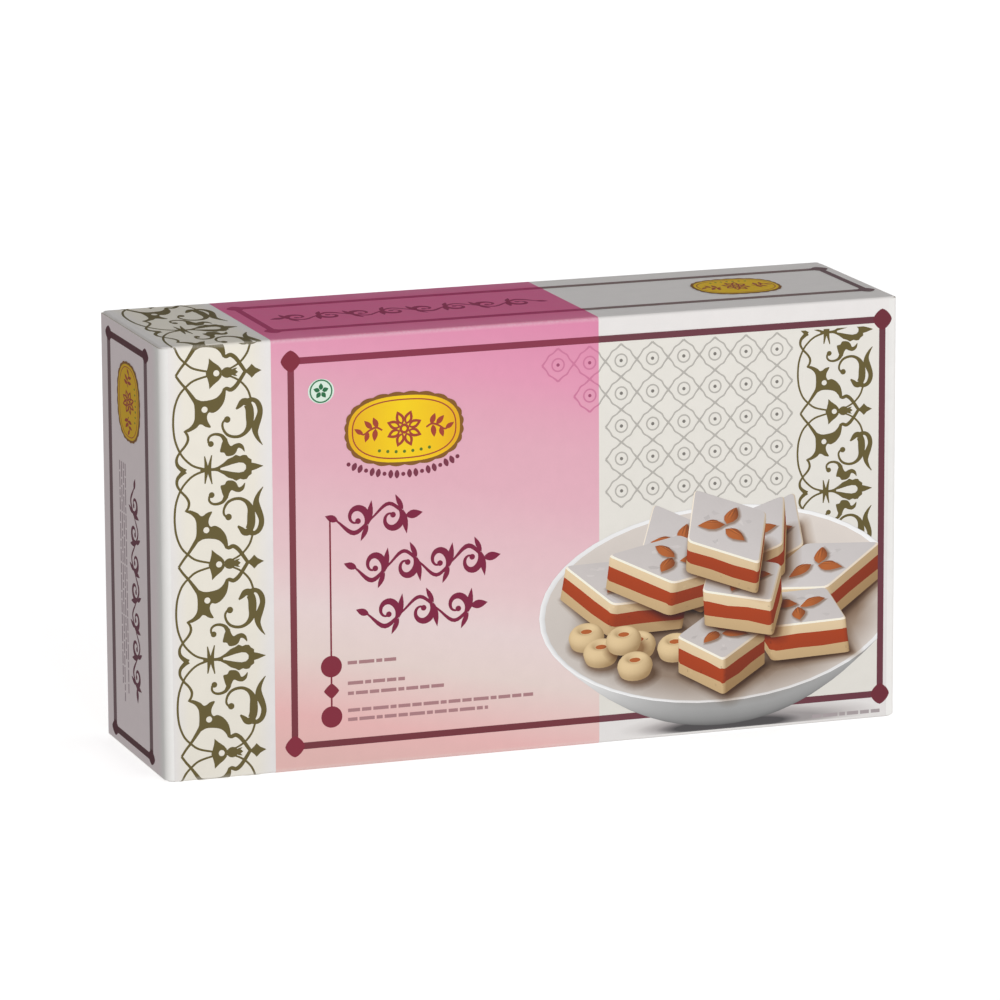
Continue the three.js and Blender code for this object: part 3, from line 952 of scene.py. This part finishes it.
back_frame = partition(frame_outlines(
    FRAME_LEFT, FRAME_RIGHT, BACK_FOOT - FRAME_HIGH, BACK_FOOT - FRAME_LOW,
    FRAME_LINE, FRAME_LINE, FRAME_KNOT))
add_film("frame_line_back", trim(back_frame["line"], left=FIELD_RIGHT), 1, line_ink)
add_film("frame_line_back_on_pink", trim(back_frame["line"], right=FIELD_RIGHT), 1, line_on_pink)
add_film("frame_knots_back", trim(back_frame["knot"]), 1, knot_ink)
add_medallion("back", placed_shapes(medallion(), 84.0, BACK_FOOT - 97.0, 180.0))
rows = on_back(vine(56.0, 6), 112.0, 70.0) + on_back(vine(38.0, 4), 103.0, 54.0)
add_film("vine_scrolls_back", trim(union(rows)), 1, title_ink)
back_cells = lattice([(BACK_FOOT - z, CELL_STARTS[-1], CELL_COUNTS[-1]) for z in CELL_ROWS])
add_film("lattice_back", trim(back_cells["line"], left=FIELD_RIGHT), 1, grey_ink)
add_film("lattice_dots_back", trim(back_cells["dot"], left=FIELD_RIGHT), 1, dot_ink)
BACK_BAND_LOW = 66.0
add_film("arabesque_right_back", repeated(
    half, BACK_FOOT - RIGHT_TREFOIL, BACK_FOOT - RIGHT_HIGH, BACK_FOOT - BACK_BAND_LOW, **right_place),
    1, olive_ink)
table = [rectangle(-36, 36, y - 0.2, y + 0.2) for y in (-21, -14, -7, 0, 7, 14, 21)]
table += [rectangle(x - 0.2, x + 0.2, -21, 21) for x in (-36, -4, 16, 36)]
for y, reach in ((17.5, 22.0), (10.5, 17.0), (3.5, 25.0), (-3.5, 14.0), (-10.5, 21.0), (-17.5, 19.0)):
    table += rules([(y, -33.5, reach - 33.5), (y, 0.0, 9.0), (y, 20.5, 29.5)], 0.8)
notes = rules([(0.0, 0.0, 70.0), (-3.4, 0.0, 64.0), (-6.8, 0.0, 72.0), (-10.2, 0.0, 41.0)], 0.8)
back_rules = on_back(table, 176.0, 36.0) + on_back(notes, 122.0, 34.0)
add_film("small_rules_back", trim(union(back_rules)), 1, small_ink)


# Picture of a dish of sweets at the lower right of the front: a pale bowl of layered diamonds under
# slivers of nut, and some pressed rounds. It is drawn from solids seen from above and in front, whose
# faces take a warm shade and one light from the upper left, and it is printed in process colours.

DISH_U, DISH_Z = 169.0, 16.4          # the middle of the bowl's foot
BACK_RISE, UP_RISE = 0.52, 0.835      # how much of a depth and of a height shows as height
TO_LIGHT = np.array([-0.42, -0.50, 0.76])
WARM_SHADE, GREY_SHADE = np.array([0.52, 0.44, 0.35]), np.array([0.37, 0.37, 0.37])
NUT_SHADE = np.array([0.36, 0.28, 0.22])
FULL_LIGHT = 1.12                     # on a face turned straight to the light
SLAB_SIZE, SLAB_THICK = np.array([21.5, 13.8]), 11.8
SLAB_HIGHLIGHT_DROP = 0.5                        # how far down a diamond's top edge the pale highlight reaches
picture_random = np.random.default_rng(7)


def pictured(points):
    """Where points (right, back, up) fall in the picture: part of back and most of up count upwards."""
    rise = BACK_RISE * points[..., 1] + UP_RISE * points[..., 2]
    return np.stack([DISH_U + points[..., 0], DISH_Z + rise], -1)


def lit(ink, normals, shade=WARM_SHADE, dim=1.0):
    """Colours of an ink by a face's normal: from its shade to the full light as the cosine rises."""
    facing = np.clip(normals @ TO_LIGHT, 0, 1)[..., None]
    return np.array(to_linear(ink)[:3]) * (shade + (FULL_LIGHT - shade) * facing) * dim


def patch(outline, tones, darkens=False):
    """A shape of the picture: its outline, turned counter-clockwise, and a colour at each corner."""
    tones = np.broadcast_to(tones, (len(outline), 3))
    x, y = outline.T
    turned = x @ np.roll(y, -1) > y @ np.roll(x, -1)
    return (outline, tones, darkens) if turned else (outline[::-1], tones[::-1], darkens)


def surface(rows, ink, shade=WARM_SHADE, dim=1.0):
    """Triangles of a closed tube of points, where it faces the eye, in the tones of its slopes.

    Each row runs counter-clockwise seen from above, and the rows follow each other downwards on an
    outside and outwards on a top, so that their way crossed with that of the points leads out.
    """
    normals = np.cross(np.gradient(rows, axis=0), np.roll(rows, -1, 1) - np.roll(rows, 1, 1))
    normals /= np.linalg.norm(normals, axis=-1, keepdims=True)
    both = np.concatenate([pictured(rows), lit(ink, normals, shade, dim)], -1)
    both = np.concatenate([both, both[:, :1]], 1)
    a, b, c, d = both[:-1, :-1], both[1:, :-1], both[1:, 1:], both[:-1, 1:]
    corners = np.stack([np.stack([a, b, c], 2), np.stack([a, c, d], 2)]).reshape(-1, 3, 5)
    ahead, aside = corners[:, 1, :2] - corners[:, 0, :2], corners[:, 2, :2] - corners[:, 0, :2]
    facing = ahead[:, 0] * aside[:, 1] - ahead[:, 1] * aside[:, 0] > 2e-3
    return [(triangle[:, :2], triangle[:, 2:], False) for triangle in corners[facing]]


def soft_shade(outline, reach, depth):
    """A darkening by the factors depth inside an outline, that fades out at reach round it."""
    out = outline - outline.mean(0)
    grown = outline + out * (reach / np.linalg.norm(out, axis=1, keepdims=True))
    tones = np.stack([depth, np.ones(3), np.ones(3), depth])
    shapes = [patch(outline, depth, True)]
    for k in range(len(outline)):
        after = (k + 1) % len(outline)
        fringe = np.stack([outline[k], grown[k], grown[after], outline[after]])
        shapes.append(patch(fringe, tones, True))
    return shapes


def cut_diamond(size, corner=1.8, between=2):
    """Outline of a diamond whose corners are parabolas, with extra points along its sides."""
    tips = size * SLAB_SIZE * [[1, 0], [0, 1], [-1, 0], [0, -1]]
    side = np.roll(tips, -1, 0) - tips
    step = side * (corner / np.linalg.norm(side, axis=1, keepdims=True))
    t = np.linspace(0, 1, 4)[:, None, None]
    before, past = tips - np.roll(step, 1, 0), tips + step
    rounds = (1 - t) ** 2 * before + 2 * t * (1 - t) * tips + t ** 2 * past
    t = (np.arange(1, between + 1) / (between + 1))[:, None, None]
    straights = past * (1 - t) + (tips + side - step) * t
    return np.concatenate([rounds, straights]).transpose(1, 0, 2).reshape(-1, 2)


def nut_sliver(on_slab, middle, turn):
    """Shapes of a sliver of nut: its shadow, its rounded body, and the dark and pale lines along it."""
    along = np.array([np.cos(np.radians(turn)), np.sin(np.radians(turn))])
    leaf = petal(middle - 2.6 * along, middle + 6.0 * along, 4.3, 5)
    shapes = soft_shade(pictured(on_slab(leaf, SLAB_THICK)) + [0.4, -0.35], 0.8, (0.50, 0.38, 0.30))
    share = np.array([0.02, 0.55, 1.0])[:, None, None]
    heights = SLAB_THICK + 1.5 * np.sqrt(1.0001 - share[..., 0] ** 2)
    body = on_slab(leaf.mean(0) + (leaf - leaf.mean(0)) * share, heights)
    shapes += surface(body, "#b1602a", NUT_SHADE)
    across = along[::-1] * [-1, 1]
    for shift, factor in ((-0.8, 0.70), (-0.2, 1.25), (0.4, 0.70), (0.85, 1.12)):
        start = middle - 1.6 * along + shift * across
        line = petal(start, start + 6.0 * along - 0.4 * shift * across, 0.36, 3)
        shapes.append(patch(pictured(on_slab(line, SLAB_THICK + 1.3)), np.full(3, factor), True))
    return shapes


def slab(place, spin, tilt):
    """Shapes of a layered diamond: soft shadow, banded sides, highlighted top edge, silvered top and
    nuts.
    """
    turned = Matrix.Rotation(np.radians(spin), 3, "Z") @ Matrix.Rotation(np.radians(tilt), 3, "Y")
    axes = np.array(turned).T
    size = picture_random.uniform(0.96, 1.02)
    outline = cut_diamond(size)
    count = len(outline)

    def on_slab(flat, height):
        """Points on the slab's own plane at a height in it."""
        height = np.broadcast_to(height, flat.shape[:-1])
        return np.array(place) + np.concatenate([flat, height[..., None]], -1) @ axes

    foot = pictured(on_slab(cut_diamond(size * 0.98, 3.0, 0), 0.0))
    shapes = soft_shade(foot + [1.8, -0.9], 4.2, (0.56, 0.45, 0.35))
    shapes += soft_shade(foot + [0.7, -0.5], 2.4, (0.28, 0.17, 0.11))

    # Two pale layers with an orange one between, whose borders wander, and pores all over the sides
    wander = picture_random.uniform(-0.028, 0.028, (2, count))
    low, high = SLAB_THICK * (0.30 + wander[0]), SLAB_THICK * (0.69 + wander[1])
    rubbed = SLAB_THICK - SLAB_HIGHLIGHT_DROP
    layers = (("#f3dbb4", rubbed, high), ("#b9430d", high, low), ("#e6c594", low, 0.0))
    for ink, upper, lower in layers:
        dims = np.stack([np.broadcast_to(0.80 + 0.22 * h / SLAB_THICK, count) for h in (upper, lower)])
        rows = np.stack([on_slab(outline, upper), on_slab(outline, lower)])
        shapes += surface(rows, ink, dim=dims[..., None])
    for _ in range(18):
        k, at = picture_random.integers(count), picture_random.random()
        height = picture_random.uniform(0.6, SLAB_THICK - 1)
        side = outline[(k + 1) % count] - outline[k]
        reach = picture_random.uniform(0.2, 0.5, 2) * [1 / np.linalg.norm(side), 1]
        spots = np.array([outline[k] + side * (at + a * reach[0]) for a in (-1, 1, 1, -1)])
        pore = pictured(on_slab(spots, height + reach[1] * np.array([-1, -1, 1, 1])))
        ahead, up = pore[1] - pore[0], pore[3] - pore[0]
        if 0.1 < at < 0.9 and ahead[0] * up[1] > ahead[1] * up[0]:
            shapes.append(patch(pore, np.full(3, picture_random.choice([0.78, 0.88, 1.08])), True))

    # The painted highlight along the top edge, the top in silver leaf, its creases, and three slivers of
    # nut
    inset = on_slab(outline * 0.965, SLAB_THICK)
    shapes += surface(np.stack([inset, on_slab(outline, rubbed)]), "#fbf0e0")
    fall = (outline @ axes[:2, :2]) @ TO_LIGHT[:2] / SLAB_SIZE[0]
    top = lit("#d2cdcd", axes[2]) * (1 + 0.12 * fall[:, None])
    shapes.append(patch(pictured(inset), top))
    for _ in range(12):
        middle = picture_random.uniform(-0.66, 0.66, 2)
        if np.abs(middle).sum() < 0.76:
            torn = oval(0, 0, 1.2, 0.8, 6) * picture_random.uniform(0.4, 1.9, (6, 1))
            fleck = pictured(on_slab(middle * SLAB_SIZE + torn, SLAB_THICK))
            tone = picture_random.choice([0.86, 0.92, 1.05, 1.09])
            shapes.append(patch(fleck, np.full(3, tone), True))
    for x, y, turn in ((-3.6, 0.4, 196), (2.1, 2.5, 70), (2.6, -2.3, 318)):
        shapes += nut_sliver(on_slab, np.array([x, y]), turn + picture_random.uniform(-9, 9))
    return shapes


def pressed_round(place):
    """Shapes of a small pressed round: its shadow, a revolved profile with a dent, and a nut in it."""
    profile = curve([
        (0.02, 4.0), (1.6, 4.1), (2.7, 5.1), (4.0, 5.1), (5.1, 3.9), (5.5, 2.2), (4.8, 0.0)], 2)
    around = np.linspace(0, 2 * np.pi, 22, endpoint=False)
    circle = np.stack([np.cos(around), np.sin(around), 0 * around], -1)
    place = np.array(place)
    shapes = soft_shade(pictured(place + 5.2 * circle) + [0.9, -0.6], 2.6, (0.38, 0.27, 0.19))
    rows = place + circle * profile[:, :1, None] + [0, 0, 1] * profile[:, 1:, None]
    shapes += surface(rows, "#e0c598")
    nut = place + circle * [1.7, 1.3, 0] + [0, 0, 4.5]
    shapes.append(patch(pictured(nut), lit("#b8602a", np.array([0, 0, 1.0]))))
    return shapes


def painted(shapes, left, right, low, high):
    """What shows of the shapes on a page: points, triangles and their corners' colours.

    Each triangle lies in the same shapes all over. Its colour is that of the topmost shape that doesn't
    darken, times those that do above it, and a shape's colours are a plane laid through its corners.
    The triangulation can spill a sliver past an outline, so a shape counts only within its bounds and
    its colours stay within their range.
    """
    outlines = [rectangle(left, right, low, high)] + [outline for outline, _, _ in shapes]
    sizes = np.array([len(outline) for outline in outlines])
    starts = np.concatenate([[0], np.cumsum(sizes)[:-1]])
    faces = [list(range(a, a + n)) for a, n in zip(starts.tolist(), sizes.tolist())]
    cuts = [((left, z), (right, z)) for z in GIRTH_LINES if low < z < high]
    cuts += [((u, low), (u, high)) for u in LENGTH_LINES if left < u < right]
    edges = (sizes.sum() + np.arange(2 * len(cuts)).reshape(-1, 2)).tolist()
    corners = np.concatenate(outlines + [np.array(cut) for cut in cuts]).tolist()
    points, _, triangles, _, _, origins = delaunay_2d_cdt(
        [Vector(corner) for corner in corners], edges, faces, 1, 1e-4, True)
    points, triangles = np.array([point[:] for point in points]), np.array(triangles)

    # Every pair of a triangle and a shape over it, the topmost shape of each triangle first
    owner = np.repeat(np.arange(len(triangles)), [len(origin) for origin in origins])
    shape = np.concatenate(origins).astype(int)
    centre = points[triangles].mean(1)[owner]
    lows = np.array([outline.min(0) for outline in outlines])[shape]
    highs = np.array([outline.max(0) for outline in outlines])[shape]
    within = ((lows <= centre) & (centre <= highs)).all(1)
    on_page = np.isin(np.arange(len(triangles)), owner[within & (shape == 0)])
    owner, shape = owner[within], shape[within]
    order = np.lexsort((-shape, owner))
    owner, shape = owner[order], shape[order]
    opaque = np.array([False] + [not darkens for _, _, darkens in shapes])[shape]
    above = np.cumsum(opaque) - opaque
    above -= above[np.searchsorted(owner, owner)]
    shown = (above == 0) & (on_page & np.isin(np.arange(len(triangles)), owner[opaque]))[owner]
    seen, depths = np.unique(owner[shown], return_counts=True)

    planes = np.array([
        np.linalg.lstsq(np.pad(outline, ((0, 0), (0, 1)), constant_values=1), tones, rcond=None)[0]
        for outline, tones, _ in shapes])
    ranges = np.array([[tones.min(0), tones.max(0)] for _, tones, _ in shapes])
    corners = np.pad(points[triangles[seen]], ((0, 0), (0, 0), (0, 1)), constant_values=1)
    shape = shape[shown] - 1
    tones = np.repeat(corners, depths, axis=0) @ planes[shape]
    tones = np.clip(tones, ranges[shape, 0][:, None], ranges[shape, 1][:, None])
    tones = np.multiply.reduceat(tones, np.concatenate([[0], np.cumsum(depths)[:-1]]))
    ahead, aside = corners[:, 1] - corners[:, 0], corners[:, 2] - corners[:, 0]
    solid = ahead[:, 0] * aside[:, 1] - ahead[:, 1] * aside[:, 0] > 1e-6
    used, triangles = np.unique(triangles[seen[solid]], return_inverse=True)
    return points[used], triangles.reshape(-1, 3), np.clip(tones[solid], 0, 1)


# The dish's shadow is drawn with the board and the tint that it falls on, which carry the same painted
# shade, darker towards the carton's foot
ground = []
for ink, low, high in ((BOARD_WHITE, 0.5, FRAME_LOW), (CREAM_TINT, FRAME_LOW, SHADOW_HIGH + 1)):
    outline = rectangle(FIELD_RIGHT - 1, FRAME_RIGHT + 1, low, high)
    fall = 1 - PAINTED_FOOT_SHADE * (1 - outline[:, 1:] / FOOT_RISE)
    ground.append(patch(outline, np.array(to_linear(ink)[:3]) * fall))
ground += soft_shade(oval(178.0, 3.0, 29.0, 2.6, 32), 12.0, (0.70, 0.68, 0.68))
ground += soft_shade(oval(175.0, 2.6, 24.0, 2.0, 32), 9.0, (0.62, 0.61, 0.62))
ground += soft_shade(oval(171.5, 2.2, 17.0, 1.6, 32), 6.0, (0.22, 0.22, 0.23))

# The bowl: a wall that is a power of the distance from its foot, a shallow inside and a thick lip
RIM_R, FOOT_R, INNER_R, BOWL_HIGH, INNER_DEEP = 56.5, 23.5, 54.8, 26.6, 6.5
turn = np.linspace(0, 2 * np.pi, 48, endpoint=False)
circle = np.stack([np.cos(turn), np.sin(turn), 0 * turn], -1)
reach = np.linspace(1, 0, 9)[:, None, None]
wall = circle * (FOOT_R + (RIM_R - FOOT_R) * reach) + [0, 0, 1] * (BOWL_HIGH * reach ** 1.6)
# The wall darkens downwards, and less at the left, where the light comes from
left_glow = 1 + 1.7 * np.clip(-np.cos(turn), 0, 1)[:, None] ** 2.2
wall_dim = np.array([1.20, 1.12, 0.98, 0.80, 0.59, 0.43, 0.36, 0.33, 0.33])[:, None, None] * left_glow
reach = np.linspace(0.25, 1, 5)[:, None, None]
inside = circle * (INNER_R * reach) + [0, 0, 1] * (BOWL_HIGH - 0.2 - INNER_DEEP * (1 - reach ** 2))
lip = np.stack([inside[-1], circle * (RIM_R - 0.7) + [0, 0, BOWL_HIGH + 0.3], wall[0]])
INSIDE_INK, INSIDE_DIMS = "#e8ded6", np.linspace(0.76, 0.94, 5)
picture = surface(wall, "#f2f1f0", GREY_SHADE, wall_dim)
picture += surface(inside, INSIDE_INK, GREY_SHADE, INSIDE_DIMS[:, None, None])
middle_tone = lit(INSIDE_INK, np.array([0, 0, 1.0]), GREY_SHADE, INSIDE_DIMS[0])
picture.append(patch(pictured(inside[0]), middle_tone))
picture += surface(lip, "#fbfafa", GREY_SHADE)
picture += soft_shade(oval(DISH_U + 2, DISH_Z + 17.5, 41, 18, 24), 9.0, (0.50, 0.40, 0.32))

# The heap: six diamonds like spokes with a gap for the rounds at the front left, three over them and
# one on top, drawn tier by tier and in each the far ones first
SPOKE_STEP = 360 / 7
TOP_PLACE = (1.0, 0.0, 43.2)
heap = []
for spoke in range(6):
    angle = -90 + spoke * SPOKE_STEP
    place = (32.0 * np.cos(np.radians(angle)), 29.5 * np.sin(np.radians(angle)), 22.2)
    heap.append((0, place, slab(place, angle + picture_random.uniform(-6, 6), -9.0)))
for angle in (-64.0, 56.0, 176.0):
    place = (15.5 * np.cos(np.radians(angle)), 15.5 * np.sin(np.radians(angle)), 31.8)
    heap.append((1, place, slab(place, angle, -6.5)))
heap.append((2, TOP_PLACE, slab(TOP_PLACE, 118.0, -6.0)))
for place in ((-37.5, -20.0, 22.8), (-27.0, -28.5, 22.4), (-26.0, -15.5, 21.6), (-14.6, -17.5, 20.9),
              (-30.5, -21.0, 27.2), (-42.0, -11.5, 23.4)):
    heap.append((0, place, pressed_round(place)))
for _, _, shapes in sorted(heap, key=lambda item: (item[0], item[1][2] - item[1][1])):
    picture += shapes

PICTURE_LEFT, PICTURE_RIGHT, PICTURE_LOW = 108.0, 218.07, 1.0
picture_ink = paper_finish("printed_dish_picture", None)
points, triangles, tones = painted(ground, FIELD_RIGHT, FRAME_RIGHT, PICTURE_LOW, SHADOW_HIGH)
add_film("dish_shadow", (points, triangles), 0, picture_ink, tones=tones)
points, triangles, tones = painted(
    picture, PICTURE_LEFT, PICTURE_RIGHT, PICTURE_LOW, HEIGHT - 2)
add_film("dish_picture", (points, triangles), 2, picture_ink, tones=tones)


# Floor: a plain pale sweep of studio paper that rises all round, a stage and no part of the object.
# It glows a little, so it stays as white as the photograph's ground and only darkens at contact.

FLOOR_DROP = 0.0001        # metres, as all sizes of the stage are
FLAT_R, SWEEP_R, WALL_HIGH = 4.0, 2.0, 6.0
FLAT_RINGS = 12
rise = np.radians(np.linspace(0, 90, 10))[1:]
floor_radius = np.concatenate([
    np.geomspace(0.05, FLAT_R, FLAT_RINGS), FLAT_R + SWEEP_R * np.sin(rise), [FLAT_R + SWEEP_R]])
floor_height = np.concatenate([
    np.zeros(FLAT_RINGS), SWEEP_R - SWEEP_R * np.cos(rise), [WALL_HIGH]]) - FLOOR_DROP
around = np.radians(np.arange(0, 360, 5))
floor_x, floor_y = floor_radius[:, None] * np.cos(around), floor_radius[:, None] * np.sin(around)
floor_rows = np.stack(np.broadcast_arrays(floor_x, floor_y, floor_height[:, None]), -1)
i, j = np.meshgrid(np.arange(len(floor_radius) - 1), np.arange(len(around)), indexing="ij")
k = (j + 1) % len(around)
n = len(around)
floor_faces = np.stack([i * n + j, (i + 1) * n + j, (i + 1) * n + k, i * n + k], -1)
floor_faces = floor_faces.reshape(-1, 4).tolist() + [list(range(n))]
floor_mesh = bpy.data.meshes.new("studio_floor")
floor_mesh.from_pydata(floor_rows.reshape(-1, 3).tolist(), [], floor_faces)
floor_mesh.shade_smooth()
paper = bpy.data.materials.new("pale_studio_paper")
paper.use_nodes = True
floor_shader = paper.node_tree.nodes["Principled BSDF"]
floor_shader.inputs["Base Color"].default_value = to_linear("#f4f4f4")
floor_shader.inputs["Roughness"].default_value = 0.9
floor_shader.inputs["Emission Color"].default_value = (1, 1, 1, 1)
floor_shader.inputs["Emission Strength"].default_value = 0.60
floor_mesh.materials.append(paper)
floor = bpy.data.objects.new("studio_floor", floor_mesh)
floor.visible_diffuse = False
floor.visible_glossy = False
floor.visible_shadow = False
scene.collection.objects.link(floor)
floor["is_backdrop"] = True


# Light: a grey surround, paler in front and below, one large soft key from the front, and two more
# softboxes, behind and at the right, for the sides that the photograph doesn't show.

world = bpy.data.worlds.new("surround")
world.use_nodes = True
sky_tree = world.node_tree
direction = add_node(sky_tree, "ShaderNodeTexCoord", {}, {}).outputs["Generated"]
axes = add_node(sky_tree, "ShaderNodeSeparateXYZ", {}, {0: direction}).outputs
SURROUND_LEVEL, SURROUND_FALLS = 0.466, (("Y", -0.20), ("Z", -0.14))
level = SURROUND_LEVEL
for axis, fall in SURROUND_FALLS:
    inputs = {0: axes[axis], 1: fall, 2: level}
    level = add_node(sky_tree, "ShaderNodeMath", {"operation": "MULTIPLY_ADD"}, inputs).outputs[0]
sky_tree.links.new(level, sky_tree.nodes["Background"].inputs["Strength"])
sky_tree.nodes["Background"].inputs["Color"].default_value = (1, 1, 1, 1)
scene.world = world


def add_softbox(name, place, size, power, glossy=True):
    """A square area light, its place and size in metres, turned to the middle of the carton."""
    light = bpy.data.lights.new(name, "AREA")
    light.shape, light.size, light.energy = "SQUARE", size, power
    softbox = bpy.data.objects.new(name, light)
    aim = Vector((0, 0, HEIGHT / 2 * MM)) - Vector(place)
    softbox.matrix_world = Matrix.Translation(place) @ aim.to_track_quat("-Z", "Y").to_matrix().to_4x4()
    softbox.visible_glossy = glossy
    scene.collection.objects.link(softbox)


add_softbox("key_front", (0.30, -3.0, 0.60), 1.6, 31.0)
add_softbox("fill_back", (0.50, 3.0, 0.40), 1.6, 40.0, glossy=False)
add_softbox("fill_right", (3.0, 0.2, 0.40), 1.4, 16.0, glossy=False)

low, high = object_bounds()
